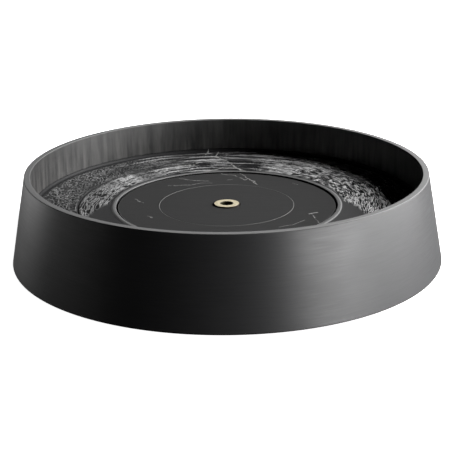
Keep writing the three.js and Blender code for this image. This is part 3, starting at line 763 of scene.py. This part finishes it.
def foot(number):
    """A rubber foot with a rounded tread, and the pocket that its screw head sits in."""
    turn = 2 * math.pi * (number - 1) / FOOT_COUNT
    pocket_z = foot_low.z + FOOT_POCKET_DEPTH
    tread = 1 * MM
    corners = [
        (FOOT_POCKET_RADIUS, foot_low.z, 0.3 * MM),
        (FOOT_RADIUS - tread, foot_low.z, 0.8 * MM),
        (FOOT_RADIUS, foot_low.z + 2 * tread, 0.6 * MM),
        (FOOT_RADIUS, FOOT_TOP_Z, 0.3 * MM),
        (FOOT_HOLE_RADIUS, FOOT_TOP_Z, 0),
        (FOOT_HOLE_RADIUS, pocket_z, 0),
        (FOOT_POCKET_RADIUS, pocket_z, 0),
    ]
    centre = (FOOT_CIRCLE * math.cos(turn), FOOT_CIRCLE * math.sin(turn))
    piece = turned(f"moulded_foot_{number}", rounded(corners), SMALL_FACETS, centre=centre)
    finish_piece(piece, "casing", rubber, "black_rubber", f"foot_{number}")


pan_wall()
basin_floor()
wheel_head()
centre_bush()
for number in range(1, FOOT_COUNT + 1):
    foot(number)

# The other nodes keep their CAD meshes, each with the finish of its record slot.
slot_materials = {
    "coated_casting": coating,
    "head_coating": head_coating,
    "plate_coating": new_material(powder_coated_sheet),
    "bush_brass": brass,
    "cage_brass": new_material(stamped_cage_brass),
    "bearing_steel": new_material(ground_bearing_steel),
    "zinc_steel": new_material(zinc_plated_steel),
    "flywheel_iron": new_material(turned_cast_iron),
    "black_rubber": rubber,
    "grey_felt": new_material(pressed_felt),
}
for subpart in frame["record"]["subparts"]:
    node = frame["nodes"][subpart["node"]]
    node.data.materials.clear()
    node.data.materials.append(slot_materials[subpart["material_slot"]])

# --- Studio ---------------------------------------------------------------------------------------

CAMERA_PLACE = (0, -1332 * MM, 481 * MM)
CAMERA_TILT = math.radians(18.78)
CAMERA_ROLL = math.radians(-0.6)
LENS_MM = 113.5
SENSOR_MM = 36
FILL_STRENGTH = 0.0005
PAPER_HALF_WIDTH = 8
PAPER_GAP = 0.2 * MM  # so that the paper and the treads of the feet are not in one plane


def camera():
    made = bpy.data.objects.new("camera", bpy.data.cameras.new("camera"))
    made.data.lens = LENS_MM
    made.data.sensor_width = SENSOR_MM
    tilt = Matrix.Rotation(math.pi / 2 - CAMERA_TILT, 4, "X")
    roll = Matrix.Rotation(CAMERA_ROLL, 4, "Z")
    made.matrix_world = Matrix.Translation(CAMERA_PLACE) @ tilt @ roll
    bpy.context.scene.collection.objects.link(made)
    bpy.context.scene.camera = made


def white_paper(tree):
    """A sheet of white paper lit from behind, so that it stays white."""
    return {
        "Base Color": linear("ffffff"),
        "Roughness": 1.0,
        "Specular IOR Level": 0.0,
        "Emission Color": linear("ffffff"),
        "Emission Strength": 1.0,
    }


def pale_floor():
    """A wide sheet of paper that only the camera sees, so that it throws no light up."""
    mesh = bpy.data.meshes.new("floor")
    half = PAPER_HALF_WIDTH
    low = -PAPER_GAP
    corners = [(-half, -half, low), (half, -half, low), (half, half, low), (-half, half, low)]
    mesh.from_pydata(corners, [], [(0, 1, 2, 3)])
    made = bpy.data.objects.new("floor", mesh)
    bpy.context.scene.collection.objects.link(made)
    mesh.materials.append(new_material(white_paper))
    made.visible_glossy = False
    made.visible_diffuse = False


def softbox(name, azimuth, elevation, distance, size, power):
    """A rectangular lamp that faces the wheel. Azimuth 0 is in front and 90 on the right, in
    degrees. The distance and the size are in metres, and the power is in watts."""
    turn, rise = math.radians(azimuth), math.radians(elevation)
    away = np.array((math.sin(turn) * math.cos(rise), -math.cos(turn) * math.cos(rise), math.sin(rise)))
    lamp = bpy.data.lights.new(name, "AREA")
    lamp.shape = "RECTANGLE"
    lamp.size, lamp.size_y = size
    lamp.energy = power
    made = bpy.data.objects.new(name, lamp)
    facing = Matrix.Rotation(turn, 4, "Z") @ Matrix.Rotation(math.pi / 2 - rise, 4, "X")
    made.matrix_world = Matrix.Translation(away * distance) @ facing
    bpy.context.scene.collection.objects.link(made)


def backdrop():
    """White behind the wheel, and a very dim even fill on it."""
    world = bpy.data.worlds.new("studio")
    world.use_nodes = True
    tree = world.node_tree
    tree.nodes.clear()
    fill = add(tree, "Background", {"Color": linear("ffffff"), "Strength": FILL_STRENGTH})
    white = add(tree, "Background", {"Color": linear("ffffff"), "Strength": 1.0})
    seen = add(tree, "LightPath", {})["Is Camera Ray"]
    mixed = add(tree, "MixShader", {0: seen, 1: fill["Background"], 2: white["Background"]})
    add(tree, "OutputWorld", {"Surface": mixed["Shader"]})
    bpy.context.scene.world = world


camera()
pale_floor()
softbox("key_high", azimuth=100, elevation=36, distance=1.4, size=(0.5, 0.5), power=34)
softbox("key_low", azimuth=107, elevation=15, distance=1.5, size=(0.75, 0.6), power=36)
softbox("right", azimuth=80, elevation=14, distance=1.5, size=(0.75, 0.6), power=21)
softbox("right_front_low", azimuth=50, elevation=4.5, distance=1.0, size=(0.5, 0.14), power=6.2)
softbox("left_back", azimuth=-122, elevation=2.2, distance=1.2, size=(0.5, 0.08), power=2.8)
softbox("left", azimuth=-80, elevation=2.2, distance=1.4, size=(0.8, 0.09), power=0.6)
backdrop()
bpy.context.scene.view_settings.view_transform = "Standard"
